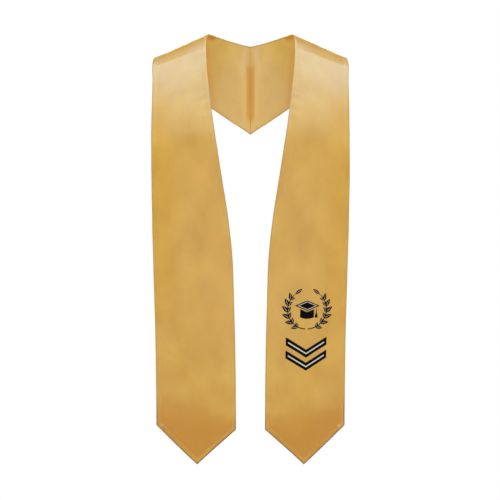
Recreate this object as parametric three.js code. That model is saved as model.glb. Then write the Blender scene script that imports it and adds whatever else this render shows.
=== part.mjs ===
// A graduation stole of satin, in the form it takes over a pair of shoulders.
// Millimetres. +Z is up, the front faces -Y, and +X is the wearer's left.
// The origin is midway between the shoulders, at the height of the neck edges on top of them.
import * as THREE from "three";

// Driving dimensions
const NECK_HALF = 73; // centre to the neck edge on top of the shoulder
const SHOULDER_HALF = 171.5; // centre to the outer edge, just past the shoulder
const SHOULDER_FALL = 42; // fall of the shoulder from the neck edge to the outer edge
const CREST_SET = 6; // the outer end of the shoulder line lies this far behind its neck end
const NAPE_DROP = 15; // top of the centre back seam, below the shoulder line
const NAPE_REACH = 70; // top of the centre back seam, behind the shoulder line
const SEAM_HEIGHT = 156; // height of the centre back seam
const SEAM_REACH = 97; // foot of the centre back seam, behind the shoulder line
const CHEST_REACH = 104; // neck edge ahead of the shoulder line, at its furthest
const FLANK_REACH = 91; // outer edge ahead of the shoulder line, at its furthest
const FRONT_LENGTH = 747; // shoulder line down to the tips of the points
const END_GAP_HALF = 25; // centre to the inner edge of a front panel's end
const END_WIDTH = 137; // width of a front panel at its end
const POINT_DROP = 65; // outer corner down to the tip
const CORNER_STEP = 2; // the inner corner lies this far below the outer one
const TIP_ACROSS = 0.487; // place of the tip across the panel, from its inner edge
const PANEL_CROWN = 7; // rise of a front panel between its edges
const FOLD_RISE = 2.4; // height of the deepest soft fold
const CLOTH_WALL = 1; // thickness of the face and of the lining
const LAYER_GAP = 0.3; // space between the face and the lining
const SEAM_GAP = 0.3; // space between the two halves in the centre back seam
const EMBLEM_WIDTH = 80; // widest part of the printed emblem
const EMBLEM_RISE = 232; // centre of the emblem above the tips of the points
const FILM_WALL = 0.4; // thickness of the printed film
const FILM_GAP = 0.3; // space between the film and what it lies on

// Fineness of the surfaces
const STEPS_A_SECTION = 2;
const COLUMNS_A_SIDE = 4; // on each side of the tip's line
const DIFFERENCE = 0.5; // step for slopes along the band, in mm
const ACROSS_DIFFERENCE = 0.01; // step for slopes across the band, as a share of its width
const POINT_FROM = 0.72; // share of the band's length from which its rows lean into the point

// The emblem's parts, as shares of EMBLEM_WIDTH, with heights above the emblem's centre
const WREATH_RADIUS = 0.42;
const WREATH_MIDDLE = 0.44;
const STEM_HALF = 0.011; // half width of a stem
const STEM_FROM = -1.5; // angle of the foot of a stem round the wreath, in radians
const STEM_TO = 0.98; // angle of its tip
const LEAF_LEAN = 0.62; // angle between a leaf and its stem, in radians
const INNER_LEAF = 0.72; // size of the leaves inside the wreath against those outside
const TIP_LEAF = 0.15; // length of the leaf on the tip of a stem
const BOARD_HALF = 0.27;
const BOARD_RISE = 0.115; // half height of the cap's board
const BOARD_MIDDLE = 0.52;
const CAP_HALF = 0.15;
const CAP_LINE = 0.022; // bare line between the board and the crown of the cap
const CAP_HEIGHT = 0.11;
const CAP_SAG = 0.035; // how far the cap's foot bows down
const TASSEL_PLACE = 0.2; // to the right of the centre
const TASSEL_TOP = 0.455;
const TASSEL_LENGTH = 0.19;
const TASSEL_CORD = 0.008; // half width of the tassel's cord
const TASSEL_FOOT = 0.03; // half width of its foot
const TASSEL_KNOT = [0.4, 0.8]; // where the cord ends and where the foot has its full width
const CHEVRON_HALF = 0.44;
const CHEVRON_BAND = 0.17; // height of a chevron's stripe
const CHEVRON_SLOPE = 0.62;
const CHEVRON_TOP = -0.15; // top of the upper chevron
const CHEVRON_PITCH = 0.28; // from one chevron down to the next
const INLINE_BAND = 0.03; // height of the light line inside a chevron
const INLINE_INSET = 0.05; // from a chevron's end to the end of its light line

const GOLD_FACE = 0xcda257;
const GOLD_LINING = 0xd0a65e;
const PRINT_BLACK = 0x17150f;
const PRINT_GREY = 0xb9b3a6;
const FACE_ROUGHNESS = 0.42;
const LINING_ROUGHNESS = 0.5;
const PRINT_ROUGHNESS = 0.45;

// Rows of numbers as objects with named columns.
function table(columns, rows) {
  return rows.map((row) => Object.fromEntries(columns.map((name, i) => [name, row[i]])));
}

// A section crosses the band from its neck edge to its outer edge.
const SECTION_COLUMNS = ["neckX", "neckY", "neckZ", "outX", "outY", "outZ", "crown"];

// Sections of the back, from the centre seam to the shoulder line. The columns are shares:
// neckX of NECK_HALF, neckY of NAPE_REACH, neckZ of NAPE_DROP, outX of SHOULDER_HALF,
// outY from CREST_SET to SEAM_REACH, outZ from SHOULDER_FALL to the foot of the seam,
// and crown of PANEL_CROWN.
const BACK_SECTIONS = table(SECTION_COLUMNS, [
  [0, 1, 1, 0, 1, 1, 0.5], // centre back seam
  [0.1, 0.965, 0.9, 0.084, 0.965, 0.922, 0.05], // flank of the seam's groove
  [0.196, 0.945, 0.81, 0.188, 0.934, 0.836, 0.1], // spine
  [0.536, 0.771, 0.41, 0.478, 0.813, 0.574, 0.2], // nape
  [0.777, 0.471, 0.14, 0.724, 0.571, 0.325, 0.2], // shoulder blade
  [0.918, 0.2, 0, 0.884, 0.264, 0.153, 0.1], // yoke
]);

// Sections of the shoulder and the front panel, down to the level of the tip. The columns are
// shares: neckX from END_GAP_HALF to NECK_HALF, neckY of CHEST_REACH, neckZ of FRONT_LENGTH,
// outX from the end's outer edge to SHOULDER_HALF, outY from CREST_SET to FLANK_REACH,
// outZ from SHOULDER_FALL to FRONT_LENGTH, and crown of PANEL_CROWN.
const FRONT_SECTIONS = table(SECTION_COLUMNS, [
  [1, 0, 0, 0.61, 0, 0, 0], // shoulder line
  [1.067, 0.087, 0.0068, 0.97, 0.103, 0.0099, 0.05], // roll over the shoulder
  [1.087, 0.192, 0.0206, 1, 0.206, 0.0258, 0.1], // brow of the shoulder
  [1.09, 0.317, 0.0429, 0.97, 0.33, 0.0491, 0.2], // slope below it
  [1.071, 0.452, 0.0744, 0.96, 0.454, 0.0799, 0.35], // collar bone
  [0.996, 0.615, 0.1222, 1, 0.577, 0.1225, 0.6], // top of the chest
  [0.869, 0.769, 0.1856, 1.03, 0.691, 0.1772, 0.85], // chest
  [0.719, 0.875, 0.2507, 1, 0.773, 0.2365, 1], // foot of the chest
  [0.494, 0.952, 0.3427, 0.94, 0.845, 0.3247, 1], // top of the fall
  [0.271, 0.99, 0.4345, 0.81, 0.897, 0.415, 0.95], // fall
  [0.121, 1, 0.526, 0.61, 0.938, 0.5052, 0.9], // above the waist
  [0.071, 1, 0.6176, 0.41, 0.969, 0.5976, 0.85], // waist
  [0.033, 0.99, 0.7091, 0.19, 0.99, 0.69, 0.8], // below the waist
  [0.01, 0.971, 0.8008, 0.1, 1, 0.7847, 0.7], // skirt
  [0, 0.933, 0.8996, 0.02, 0.99, 0.8846, 0.55], // corners of the end
  [0, 0.875, 1, 0, 0.948, 1, 0.4], // level of the tip
]);

// Soft folds of the hanging cloth: place along the band and across it, length and width as
// shares of the band's length and width, lean in degrees, and rise as a share of FOLD_RISE.
const FOLDS = [
  { along: 0.3, across: 0.1, length: 0.05, width: 0.22, lean: 70, rise: -0.5 },
  { along: 0.38, across: 0.62, length: 0.12, width: 0.16, lean: 8, rise: 0.45 },
  { along: 0.52, across: 0.3, length: 0.14, width: 0.18, lean: -6, rise: -0.6 },
  { along: 0.64, across: 0.7, length: 0.13, width: 0.16, lean: 5, rise: 0.6 },
  { along: 0.78, across: 0.28, length: 0.1, width: 0.17, lean: 10, rise: 0.8 },
  { along: 0.86, across: 0.66, length: 0.09, width: 0.2, lean: -8, rise: -1 },
];

// The emblem's leaves, from the foot of each branch: place along the stem, length and
// half width as shares of EMBLEM_WIDTH.
const LEAVES = [
  { along: 0.16, length: 0.15, width: 0.038 },
  { along: 0.29, length: 0.17, width: 0.042 },
  { along: 0.42, length: 0.175, width: 0.044 },
  { along: 0.55, length: 0.175, width: 0.044 },
  { along: 0.68, length: 0.165, width: 0.042 },
  { along: 0.81, length: 0.15, width: 0.038 },
];

// The stem below its first leaf and above its last one: place along the stem, and half
// width there in halves of the stem.
const BRANCH_FOOT = [
  { along: 0, halves: 1 },
  { along: 0.08, halves: 1 },
];
const BRANCH_TIP = [
  { along: 0.9, halves: 1 },
  { along: 0.97, halves: 3 },
];

// A leaf's outline: shares of its length ahead and of its half width aside.
const LEAF_OUTLINE = [
  { ahead: 0, aside: 0.1 },
  { ahead: 0.12, aside: 0.6 },
  { ahead: 0.35, aside: 0.95 },
  { ahead: 0.6, aside: 0.9 },
  { ahead: 0.82, aside: 0.5 },
  { ahead: 1, aside: 0 },
  { ahead: 0.78, aside: -0.6 },
  { ahead: 0.5, aside: -0.75 },
  { ahead: 0.18, aside: -0.3 },
];

const mix = THREE.MathUtils.lerp;
const between = (low, high, value) => THREE.MathUtils.clamp((value - low) / (high - low), 0, 1);

// The two edge points of one row of the table of the back.
function backSection(row) {
  const foot = NAPE_DROP + SEAM_HEIGHT;
  return {
    neck: new THREE.Vector3(row.neckX * NECK_HALF, row.neckY * NAPE_REACH, -row.neckZ * NAPE_DROP),
    out: new THREE.Vector3(
      row.outX * SHOULDER_HALF,
      mix(CREST_SET, SEAM_REACH, row.outY),
      -mix(SHOULDER_FALL, foot, row.outZ),
    ),
    crown: row.crown * PANEL_CROWN,
  };
}

// The two edge points of one row of the table of the front.
function frontSection(row) {
  return {
    neck: new THREE.Vector3(
      mix(END_GAP_HALF, NECK_HALF, row.neckX),
      -row.neckY * CHEST_REACH,
      -row.neckZ * FRONT_LENGTH,
    ),
    out: new THREE.Vector3(
      mix(END_GAP_HALF + END_WIDTH, SHOULDER_HALF, row.outX),
      mix(CREST_SET, -FLANK_REACH, row.outY),
      -mix(SHOULDER_FALL, FRONT_LENGTH, row.outZ),
    ),
    crown: row.crown * PANEL_CROWN,
  };
}

// The sections in order, each with its distance along the middle of the band from the seam.
function laidOut() {
  const sections = [...BACK_SECTIONS.map(backSection), ...FRONT_SECTIONS.map(frontSection)];
  let along = 0;
  sections.forEach((section, i) => {
    section.middle = section.neck.clone().lerp(section.out, 0.5);
    if (i > 0) along += section.middle.distanceTo(sections[i - 1].middle);
    section.along = along;
  });
  return sections;
}

const SECTIONS = laidOut();
const BAND_LENGTH = SECTIONS.at(-1).along;

// A value read from the sections at a distance along the band, on a smooth curve through them.
function smoothly(valueOf, along) {
  const last = SECTIONS.length - 1;
  let i = 0;
  while (i < last - 1 && along > SECTIONS[i + 1].along) i += 1;
  const slope = (k) => {
    const before = SECTIONS[Math.max(k - 1, 0)];
    const after = SECTIONS[Math.min(k + 1, last)];
    return (valueOf(after) - valueOf(before)) / (after.along - before.along);
  };
  const span = SECTIONS[i + 1].along - SECTIONS[i].along;
  const t = (along - SECTIONS[i].along) / span;
  const start = valueOf(SECTIONS[i]);
  const end = valueOf(SECTIONS[i + 1]);
  return (
    start * (2 * t ** 3 - 3 * t ** 2 + 1) +
    slope(i) * span * (t ** 3 - 2 * t ** 2 + t) +
    end * (3 * t ** 2 - 2 * t ** 3) +
    slope(i + 1) * span * (t ** 3 - t ** 2)
  );
}

function edgePoint(edge, along) {
  return new THREE.Vector3(
    smoothly((section) => section[edge].x, along),
    smoothly((section) => section[edge].y, along),
    smoothly((section) => section[edge].z, along),
  );
}

function widthAt(along) {
  return edgePoint("neck", along).distanceTo(edgePoint("out", along));
}

// How far the soft folds lift the cloth.
function foldRise(along, across) {
  const width = widthAt(along);
  let rise = 0;
  for (const fold of FOLDS) {
    const lean = THREE.MathUtils.degToRad(fold.lean);
    const down = along - fold.along * BAND_LENGTH;
    const aside = (across - fold.across) * width;
    const ahead = (down * Math.cos(lean) + aside * Math.sin(lean)) / (fold.length * BAND_LENGTH);
    const beside = (aside * Math.cos(lean) - down * Math.sin(lean)) / (fold.width * width);
    rise += fold.rise * FOLD_RISE * Math.exp(-(ahead ** 2) - beside ** 2);
  }
  return rise;
}

// The straight line between the two edges, before the crown and the folds.
function ruledPoint(along, across) {
  return edgePoint("neck", along).lerp(edgePoint("out", along), across);
}

// The direction out of the cloth, away from the body, of any surface over the band.
function outward(surface, along, across) {
  const down = surface(along + DIFFERENCE, across).sub(surface(along - DIFFERENCE, across));
  const aside = surface(along, across + ACROSS_DIFFERENCE).sub(
    surface(along, across - ACROSS_DIFFERENCE),
  );
  return down.cross(aside).normalize();
}

// The middle surface of the band, with its crown and folds.
function bandPoint(along, across) {
  const crown = smoothly((section) => section.crown, along) * 4 * across * (1 - across);
  const lift = crown + foldRise(along, across);
  return ruledPoint(along, across).addScaledVector(outward(ruledPoint, along, across), lift);
}

// A point off the middle surface by some distance, outwards.
function offBand(along, across, distance) {
  return bandPoint(along, across).addScaledVector(outward(bandPoint, along, across), distance);
}

// How far the pointed end stops short of the level of the tip.
function shortOfTip(across) {
  if (across > TIP_ACROSS) return (POINT_DROP * (across - TIP_ACROSS)) / (1 - TIP_ACROSS);
  return ((POINT_DROP - CORNER_STEP) * (TIP_ACROSS - across)) / TIP_ACROSS;
}

// Rows of the surface lean into the point over the last stretch of the band.
function rowAlong(along, across) {
  const lean = between(POINT_FROM, 1, along / BAND_LENGTH);
  return along - shortOfTip(across) * lean ** 2;
}

// A closed sheet from a grid of points on its outer and inner side. The rows run down and
// the columns to the right, seen from outside.
function sheetGeometry(rows, columns, pointAt) {
  const positions = [];
  const triangles = [];
  const stride = columns + 1;
  const layer = (rows + 1) * stride;
  for (const side of [1, 0]) {
    for (let i = 0; i <= rows; i += 1) {
      for (let j = 0; j <= columns; j += 1) positions.push(...pointAt(i, j, side).toArray());
    }
  }
  const quad = (a, b, c, d) => triangles.push(a, b, c, a, c, d);
  const outer = (i, j) => i * stride + j;
  const inner = (i, j) => layer + outer(i, j);
  for (let i = 0; i < rows; i += 1) {
    for (let j = 0; j < columns; j += 1) {
      quad(outer(i, j), outer(i + 1, j), outer(i + 1, j + 1), outer(i, j + 1));
      quad(inner(i, j), inner(i, j + 1), inner(i + 1, j + 1), inner(i + 1, j));
    }
    quad(outer(i, 0), inner(i, 0), inner(i + 1, 0), outer(i + 1, 0));
    quad(outer(i + 1, columns), inner(i + 1, columns), inner(i, columns), outer(i, columns));
  }
  for (let j = 0; j < columns; j += 1) {
    quad(outer(0, j + 1), inner(0, j + 1), inner(0, j), outer(0, j));
    quad(outer(rows, j), inner(rows, j), inner(rows, j + 1), outer(rows, j + 1));
  }
  const geometry = new THREE.BufferGeometry();
  geometry.setAttribute("position", new THREE.Float32BufferAttribute(positions, 3));
  geometry.setIndex(triangles);
  geometry.computeVertexNormals();
  return geometry;
}

// The rows of the cloth: each stretch between two sections in equal steps.
function rowPlaces() {
  const places = [0];
  for (let k = 1; k < SECTIONS.length; k += 1) {
    for (let step = 1; step <= STEPS_A_SECTION; step += 1) {
      places.push(mix(SECTIONS[k - 1].along, SECTIONS[k].along, step / STEPS_A_SECTION));
    }
  }
  return places;
}

// The columns of the cloth, with one of them on the line of the tip.
function columnPlaces() {
  const places = [];
  for (let j = 0; j <= COLUMNS_A_SIDE; j += 1) places.push((TIP_ACROSS * j) / COLUMNS_A_SIDE);
  for (let j = 1; j <= COLUMNS_A_SIDE; j += 1) places.push(mix(TIP_ACROSS, 1, j / COLUMNS_A_SIDE));
  return places;
}

// One layer of the wearer's left half, between two distances off the middle surface.
function layerGeometry(innerSide, outerSide) {
  const rows = rowPlaces();
  const columns = columnPlaces();
  return sheetGeometry(rows.length - 1, columns.length - 1, (i, j, side) => {
    const along = rowAlong(rows[i], columns[j]);
    const point = offBand(along, columns[j], side ? outerSide : innerSide);
    point.x = i === 0 ? SEAM_GAP / 2 : Math.max(point.x, SEAM_GAP / 2);
    return point;
  });
}

function material(color, roughness) {
  return new THREE.MeshStandardMaterial({ color, roughness, metalness: 0 });
}

// One half of the cloth: a face outside and a lining inside, sewn together along their edges.
function clothHalf(side, geometries, materials) {
  const half = new THREE.Group();
  for (const layer of ["face", "lining"]) {
    const mesh = new THREE.Mesh(geometries[layer], materials[layer]);
    mesh.name = side + "_" + layer;
    half.add(mesh);
  }
  return half;
}

// The inks: the light line lies on the black film.
const BLACK = { color: PRINT_BLACK, films: 0 };
const GREY = { color: PRINT_GREY, films: 1 };

// A point of the emblem, from its centre to the right, up and out of the cloth.
function emblemPoint(right, up, height, ink) {
  const along = BAND_LENGTH - EMBLEM_RISE - up;
  const across = 0.5 + right / widthAt(along);
  const below = LAYER_GAP / 2 + CLOTH_WALL + FILM_GAP + ink.films * (FILM_WALL + FILM_GAP);
  return offBand(along, across, below + height);
}

// A printed patch over a grid: outline(down, right) gives its place in shares of EMBLEM_WIDTH.
function patch(name, ink, rows, columns, outline) {
  const geometry = sheetGeometry(rows, columns, (i, j, side) => {
    const [right, up] = outline(i / rows, j / columns);
    return emblemPoint(right * EMBLEM_WIDTH, up * EMBLEM_WIDTH, side * FILM_WALL, ink);
  });
  return printed(name, ink, geometry);
}

function printed(name, ink, geometry) {
  const mesh = new THREE.Mesh(geometry, material(ink.color, PRINT_ROUGHNESS));
  mesh.name = name;
  return mesh;
}

// The stem of the left branch of the wreath: an arc from the foot up to the tip.
function stemPoint(share) {
  const angle = mix(STEM_FROM, STEM_TO, share);
  const radius = WREATH_RADIUS * EMBLEM_WIDTH;
  const middle = WREATH_MIDDLE * EMBLEM_WIDTH;
  return new THREE.Vector2(radius * Math.cos(angle), middle + radius * Math.sin(angle));
}

function stemDirection(share) {
  const angle = mix(STEM_FROM, STEM_TO, share) + Math.PI / 2;
  return new THREE.Vector2(Math.cos(angle), Math.sin(angle));
}

// The outline of one leaf, from the side of its base nearer the foot round to the other.
// Turn is 1 inside the wreath, where the leaves are smaller, and -1 outside it.
function leafPoints(leaf, turn) {
  const size = EMBLEM_WIDTH * (turn > 0 ? INNER_LEAF : 1);
  const root = stemPoint(leaf.along);
  const stem = stemDirection(leaf.along);
  const away = new THREE.Vector2(-stem.y, stem.x).multiplyScalar(turn);
  const axis = stem.clone().rotateAround(new THREE.Vector2(), turn * LEAF_LEAN);
  const side = new THREE.Vector2(-axis.y, axis.x).multiplyScalar(turn);
  const base = root.addScaledVector(away, STEM_HALF * EMBLEM_WIDTH);
  return LEAF_OUTLINE.map(({ ahead, aside }) =>
    base
      .clone()
      .addScaledVector(axis, ahead * leaf.length * size)
      .addScaledVector(side, aside * leaf.width * size),
  );
}

// One side of a branch, from its foot to the base of the leaf on its tip.
function branchSide(turn) {
  const edge = ({ along, halves }) => {
    const stem = stemDirection(along);
    const away = new THREE.Vector2(-stem.y, stem.x);
    return stemPoint(along).addScaledVector(away, turn * halves * STEM_HALF * EMBLEM_WIDTH);
  };
  const leaves = LEAVES.flatMap((leaf) => leafPoints(leaf, turn));
  return [...BRANCH_FOOT.map(edge), ...leaves, ...BRANCH_TIP.map(edge)];
}

// A branch with a row of leaves on each side and one on its tip.
function branchOutline() {
  const tip = stemPoint(1).addScaledVector(stemDirection(1), TIP_LEAF * EMBLEM_WIDTH);
  return [...branchSide(-1), tip, ...branchSide(1).reverse()];
}

function branch(name, flip) {
  const outline = branchOutline().map((p) => new THREE.Vector2(p.x * flip, p.y));
  const geometry = new THREE.ExtrudeGeometry(new THREE.Shape(outline), {
    depth: FILM_WALL,
    bevelEnabled: false,
  });
  const position = geometry.getAttribute("position");
  for (let i = 0; i < position.count; i += 1) {
    const point = emblemPoint(position.getX(i), position.getY(i), position.getZ(i), BLACK);
    position.setXYZ(i, point.x, point.y, point.z);
  }
  geometry.computeVertexNormals();
  return printed(name, BLACK, geometry);
}

// The flat board of the cap: a rhomb seen a little from above.
function boardOutline(down, right) {
  return [(right - down) * BOARD_HALF, BOARD_MIDDLE + (1 - down - right) * BOARD_RISE];
}

// The crown of the cap below the board, clear of it by a thin line.
function capOutline(down, right) {
  const aside = 2 * right - 1;
  const slope = BOARD_RISE / BOARD_HALF;
  const peak = BOARD_MIDDLE - BOARD_RISE - CAP_LINE;
  const top = peak + slope * CAP_HALF * Math.abs(aside);
  const foot = peak - CAP_HEIGHT - CAP_SAG * (1 - aside ** 2);
  return [aside * CAP_HALF, mix(top, foot, down)];
}

// The tassel hangs beside the cap, on a thin cord, and widens to its foot.
function tasselOutline(down, right) {
  const half = mix(TASSEL_CORD, TASSEL_FOOT, between(...TASSEL_KNOT, down));
  return [TASSEL_PLACE + (2 * right - 1) * half, TASSEL_TOP - down * TASSEL_LENGTH];
}

// A stripe of a chevron that points down, as the panel's end does. The stripe lies in the
// middle of the chevron's height.
function chevronOutline(top, half, band) {
  return (down, right) => {
    const aside = (2 * right - 1) * half;
    const edge = top - CHEVRON_SLOPE * (CHEVRON_HALF - Math.abs(aside));
    return [aside, edge - (CHEVRON_BAND - band) / 2 - down * band];
  };
}

function chevron(place, top) {
  const lineHalf = CHEVRON_HALF - INLINE_INSET;
  const stripe = chevronOutline(top, CHEVRON_HALF, CHEVRON_BAND);
  const line = chevronOutline(top, lineHalf, INLINE_BAND);
  const group = new THREE.Group();
  group.add(patch("emblem_chevron_" + place, BLACK, 2, 10, stripe));
  group.add(patch("emblem_inline_" + place, GREY, 1, 10, line));
  return group;
}

function emblem() {
  const group = new THREE.Group();
  group.add(branch("emblem_left_branch", 1), branch("emblem_right_branch", -1));
  group.add(patch("emblem_board", BLACK, 4, 4, boardOutline));
  group.add(patch("emblem_cap", BLACK, 2, 6, capOutline));
  group.add(patch("emblem_tassel", BLACK, 5, 2, tasselOutline));
  group.add(chevron("upper", CHEVRON_TOP), chevron("lower", CHEVRON_TOP - CHEVRON_PITCH));
  return group;
}

const half = LAYER_GAP / 2;
const geometries = {
  face: layerGeometry(half, half + CLOTH_WALL),
  lining: layerGeometry(-half - CLOTH_WALL, -half),
};
const materials = {
  face: material(GOLD_FACE, FACE_ROUGHNESS),
  lining: material(GOLD_LINING, LINING_ROUGHNESS),
};

const stole = new THREE.Group();
const left = clothHalf("left", geometries, materials);
left.add(emblem());
const right = clothHalf("right", geometries, materials);
right.scale.x = -1;
stole.add(left, right);

export default stole;
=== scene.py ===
import math

import bpy
import numpy as np
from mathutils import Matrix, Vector, noise


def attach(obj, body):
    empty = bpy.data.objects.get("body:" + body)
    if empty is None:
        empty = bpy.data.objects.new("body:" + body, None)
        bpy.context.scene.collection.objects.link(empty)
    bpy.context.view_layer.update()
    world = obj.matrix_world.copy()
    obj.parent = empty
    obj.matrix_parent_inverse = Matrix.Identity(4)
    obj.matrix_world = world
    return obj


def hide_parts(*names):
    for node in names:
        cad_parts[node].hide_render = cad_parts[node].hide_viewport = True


# A graduation stole: a satin band that lies over the shoulders, meets in a V at the back and
# hangs in two long pointed panels at the front. +Z is up and the panels hang on the -Y side.
# Lengths of the shape are in millimetres, and are turned into metres where a mesh is made.

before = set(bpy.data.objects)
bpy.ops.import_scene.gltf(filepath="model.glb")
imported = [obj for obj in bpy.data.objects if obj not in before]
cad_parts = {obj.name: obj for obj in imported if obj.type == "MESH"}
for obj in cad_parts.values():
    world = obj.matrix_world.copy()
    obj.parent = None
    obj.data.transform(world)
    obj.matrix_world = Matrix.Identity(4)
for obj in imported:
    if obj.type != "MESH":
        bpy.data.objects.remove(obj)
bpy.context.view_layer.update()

MM = 0.001

# Camera and light: places in metres, colours linear.
CAMERA_PLACE = (-0.00086, -4.6, -0.3778)
CAMERA_LENS = 188.4
SENSOR_WIDTH = 36.0
CAMERA_FAR = 50.0
FLOOR_HEIGHT = -1.45
FLOOR_HALF = 5.5
FLOOR_SIDES = 96
FLOOR_COLOR = (0.8, 0.8, 0.79)
FLOOR_ROUGHNESS = 0.9
FLOOR_GLOW = 0.7
LAMP_COLUMNS = ("name", "place", "aim", "width", "depth", "watts", "color", "diffuse", "glossy")
WARM = (1.0, 0.99, 0.97)
COOL = (0.67, 0.9, 1.0)
BLUISH = (0.39, 0.71, 1.0)
LAMPS = [
    ("sheen_above", (0.0, -0.62, 2.0), (0.0, -0.62, 0.0), 4.6, 1.88, 102.0, BLUISH, False, True),
    ("sheen_ahead", (0.0, -3.0, 2.0), (0.0, -3.0, 0.0), 6.4, 2.8, 108.0, COOL, False, True),
    ("front", (0.0, -3.8, -0.3), (0.0, 0.0, -0.35), 3.4, 2.4, 71.0, WARM, True, False),
    ("flank_left", (3.4, -0.9, -0.35), (0.0, 0.0, -0.35), 1.6, 2.2, 25.0, WARM, True, False),
    ("flank_right", (-3.4, -0.9, -0.35), (0.0, 0.0, -0.35), 1.6, 2.2, 25.0, WARM, True, False),
    ("top", (0.0, 0.8, 2.0), (0.0, 0.0, 0.0), 3.0, 1.0, 34.0, WARM, True, False),
    ("left", (2.6, 0.3, 1.7), (0.1, 0.0, -0.1), 1.6, 1.6, 30.0, WARM, True, False),
    ("right", (-2.6, 0.3, 1.7), (-0.1, 0.0, -0.1), 1.6, 1.6, 30.0, WARM, True, False),
    ("back", (0.0, 3.4, 0.4), (0.0, 0.0, -0.2), 2.6, 2.0, 60.0, WARM, True, True),
]

# The room's own light by height: 0 is straight down, 0.5 level and 1 straight up. The second
# table is the room as gloss shows it.
ROOM_LIGHT = [
    (0.0, (1.4, 1.36, 1.1, 1)),
    (0.5, (0.55, 0.54, 0.52, 1)),
    (1.0, (0.24, 0.24, 0.25, 1)),
]
ROOM_GLOSS = [
    (0.45, (0.0, 0.0, 0.0, 1)),
    (0.7, (0.05, 0.05, 0.05, 1)),
    (1.0, (0.2, 0.2, 0.2, 1)),
]
BACKDROP_WHITE = (1.0, 1.0, 1.0, 1)

# Shoulders: half spans between the two sides, then heights and reaches.
NECK_HALF = 73.0
SHOULDER_HALF = 171.5
SHOULDER_FALL = 42.0
CREST_SET = 6.0

# Back of the neck, where the two halves meet in the centre seam.
NAPE_DROP = 15.0
NAPE_REACH = 70.0
SEAM_HEIGHT = 156.0
SEAM_REACH = 97.0

# Front panels.
CHEST_REACH = 104.0
FLANK_REACH = 91.0
FRONT_LENGTH = 747.0
END_GAP_HALF = 25.0
END_WIDTH = 137.0
POINT_DROP = 65.0
CORNER_STEP = 2.0
TIP_ACROSS = 0.487
PANEL_CROWN = 7.0
FOLD_RISE = 2.4

# Cloth, measured from the middle surface between the two layers.
LAYER_INNER = 0.05  # inner side of each layer
EDGE_HALF = 0.25  # half thickness of the turned edge
LAYER_OUTER = 1.0  # outer side where nothing lies underneath
TURN_WIDTH = 1.6  # how far in the turned edge rounds off
TURN_RISE = 0.4  # height of the seam allowance under the cloth
END_RISE = 0.75  # and where the pointed end is turned up
ALLOWANCE = 6.5  # width of the seam allowance
END_ALLOWANCE = 6.8  # and of the one along the pointed end
ALLOWANCE_SLOPE = 2.2  # over which it dies away
SEAM_CLEAR = 0.02  # from the centre plane to each half
# The dark rim is painted shade where the turned edges and the seam's ditch round away from the
# light.
RIM_SHARES = (1.0, 1.0, 3.6)  # how narrow the dark rim is along the sides, the end and the seam
RIM_FROM = 255.0  # along the band, where the rim of the face's neck edge starts
RIM_WHOLE = 290.0

# Emblem on the wearer's left panel: width, and height of its centre above the tip. The sizes
# after them are shares of its width.
EMBLEM_WIDTH = 80.0
EMBLEM_RISE = 232.0
FILM_UNDER = 0.06  # from the cloth to the underside of the black film, in millimetres
FILM_TOP = 0.2
INLINE_UNDER = 0.22
INLINE_TOP = 0.3
WREATH_RADIUS = 0.42
WREATH_MIDDLE = 0.44
STEM_HALF = 0.011
STEM_FROM = -1.5  # angles of the stem's foot and of its tip, in radians
STEM_TO = 0.98
STEM_END = 0.99  # share of the way to the tip where the strip of the stem stops
STEM_TIP = 0.35  # share of its width that is left there
STEM_TAPER = 3.0
LEAF_LEAN = 0.62  # away from the stem, in radians
LEAF_SET = 0.6  # from the stem's middle, as a share of its half width
LEAF_BEND = 0.25  # share of the leaf's half width
LEAF_SKEW = 0.85  # shape of the oval: where it is widest, how full it is, how it thins
LEAF_FULL = 0.8
LEAF_THIN = 0.15
INNER_LEAF = 0.72  # size of the leaves on the inner side of the stem
TIP_LEAF_AT = 0.97
TIP_LEAF_LENGTH = 0.18
TIP_LEAF_HALF = 0.036
VEIN_HALF = 0.0045
VEIN_SPAN = (0.16, 0.78)
VEIN_THIN = 0.6
BOARD_HALF = 0.27
BOARD_RISE = 0.115
BOARD_MIDDLE = 0.52
BOARD_INSET = 0.14  # of the light line inside the board, and half its width, in shares of it
BOARD_LINE = 0.03
CAP_HALF = 0.15
CAP_LINE = 0.022
CAP_HEIGHT = 0.11
CAP_SAG = 0.035
TASSEL_PLACE = 0.2
TASSEL_TOP = 0.455
TASSEL_LENGTH = 0.19
TASSEL_CORD = 0.008
TASSEL_FOOT = 0.03
TASSEL_KNOT = (0.4, 0.8)
CHEVRON_HALF = 0.44
CHEVRON_BAND = 0.17
CHEVRON_SLOPE = 0.62
CHEVRON_TOP = -0.15
CHEVRON_PITCH = 0.28
INLINE_BAND = 0.03
INLINE_INSET = 0.05

# Rows and columns of each patch of film.
PATCH_CELLS = {
    "stem": (48, 2),
    "leaf": (16, 6),
    "vein": (16, 2),
    "board": (16, 16),
    "board_line": (12, 1),
    "cap": (8, 24),
    "tassel": (24, 6),
    "chevron": (8, 40),
    "chevron_line": (2, 40),
}

# The emblem's leaves, from the foot of each branch: place along the stem, length and half
# width as shares of the emblem's width.
LEAF_COLUMNS = ("along", "length", "width")
LEAVES = [
    (0.16, 0.15, 0.038),
    (0.29, 0.17, 0.042),
    (0.42, 0.175, 0.044),
    (0.55, 0.175, 0.044),
    (0.68, 0.165, 0.042),
    (0.81, 0.15, 0.038),
]

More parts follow.
